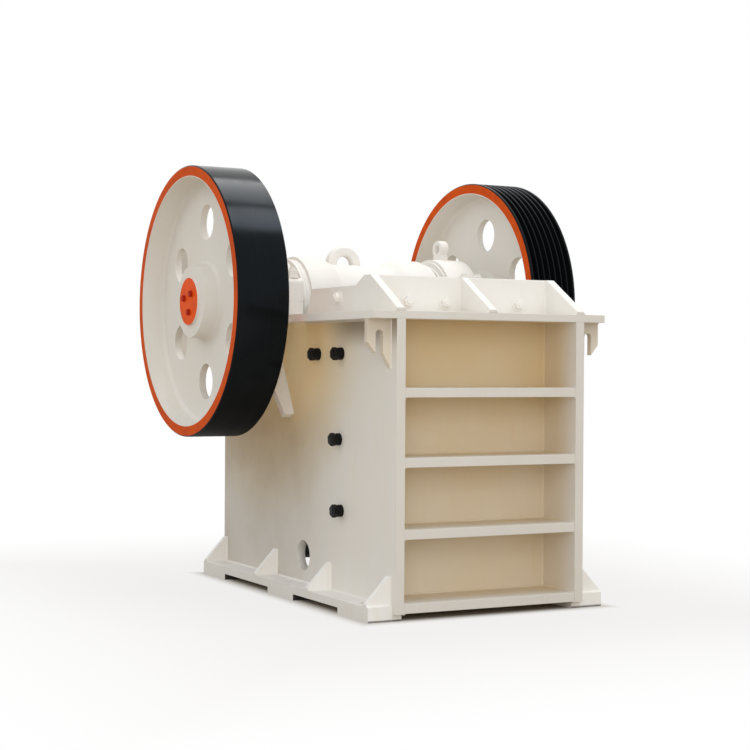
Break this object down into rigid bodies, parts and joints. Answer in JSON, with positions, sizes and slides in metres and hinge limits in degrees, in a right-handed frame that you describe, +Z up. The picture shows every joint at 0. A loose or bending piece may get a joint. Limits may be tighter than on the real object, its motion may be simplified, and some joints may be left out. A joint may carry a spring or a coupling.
{
  "type": "jaw crusher",
  "caption": "Single-toggle jaw crusher: welded ribbed frame on bolted feet, toothed jaws in an open mouth, smooth flywheel and grooved pulley on an eccentric shaft.",
  "frame": {"origin": "centre of the six foot bolts, on the floor under the pads", "axes": "+X along the shaft towards the grooved pulley, +Y from the feed front to the back, +Z up"},
  "size_m": [2.114, 2.322, 2.369],
  "materials": {
    "frame_paint": "satin",
    "casting_paint": "satin",
    "wheel_paint": "gloss",
    "accent_paint": "gloss",
    "liner_steel": "cast",
    "bare_steel": "machined",
    "dark_casting": "cast",
    "spring_paint": "satin"
  },
  "bodies": {
    "frame": {"base_gussets": "frame_paint", "bearing_covers": "casting_paint", "cheek_liners": "liner_steel", "feed_flange": "frame_paint", "feed_gussets": "frame_paint", "fixed_jaw_plate": "liner_steel", "foot_pads": "frame_paint", "front_rib_1": "frame_paint", "front_rib_2": "frame_paint", "front_rib_3": "frame_paint", "front_rib_4": "frame_paint", "front_wall": "frame_paint", "hook_brackets": "frame_paint", "jaw_rest_bar": "frame_paint", "left_base_flange": "frame_paint", "left_bearing_base": "casting_paint", "left_bearing_cap": "casting_paint", "left_side_plate": "frame_paint", "radial_gussets": "frame_paint", "rear_ribs": "frame_paint", "rear_toggle_seat": "dark_casting", "rear_wall": "frame_paint", "right_base_flange": "frame_paint", "right_bearing_base": "casting_paint", "right_bearing_cap": "casting_paint", "right_side_plate": "frame_paint", "rod_bracket": "frame_paint", "rod_nut": "bare_steel", "spring_discs": "bare_steel", "tension_rod": "bare_steel", "tension_spring": "spring_paint", "toggle_block": "dark_casting", "toggle_guides": "frame_paint", "toggle_plate": "dark_casting"},
    "rotor": {"eccentric_shaft": "bare_steel", "flywheel": "wheel_paint", "pulley": "wheel_paint", "end_caps": "accent_paint"},
    "pitman": {"pitman": "casting_paint", "moving_jaw_plate": "liner_steel", "jaw_wedge": "dark_casting", "pitman_covers": "casting_paint", "rod_pin": "bare_steel", "pitman_toggle_seat": "dark_casting", "rod_lugs": "casting_paint"}
  },
  "joints": [
    {"name": "flywheel_spin", "type": "hinge", "parent": "frame", "child": "rotor", "pos_m": [0, 0.4645, 1.611], "axis": [1, 0, 0], "continuous": true},
    {"name": "pitman_swing", "type": "hinge", "parent": "rotor", "child": "pitman", "pos_m": [0, 0.4645, 1.592], "axis": [1, 0, 0], "continuous": true}
  ],
  "couplings": [
    {"joint": "pitman_swing", "follows": "flywheel_spin", "ratio": -1}
  ]
}
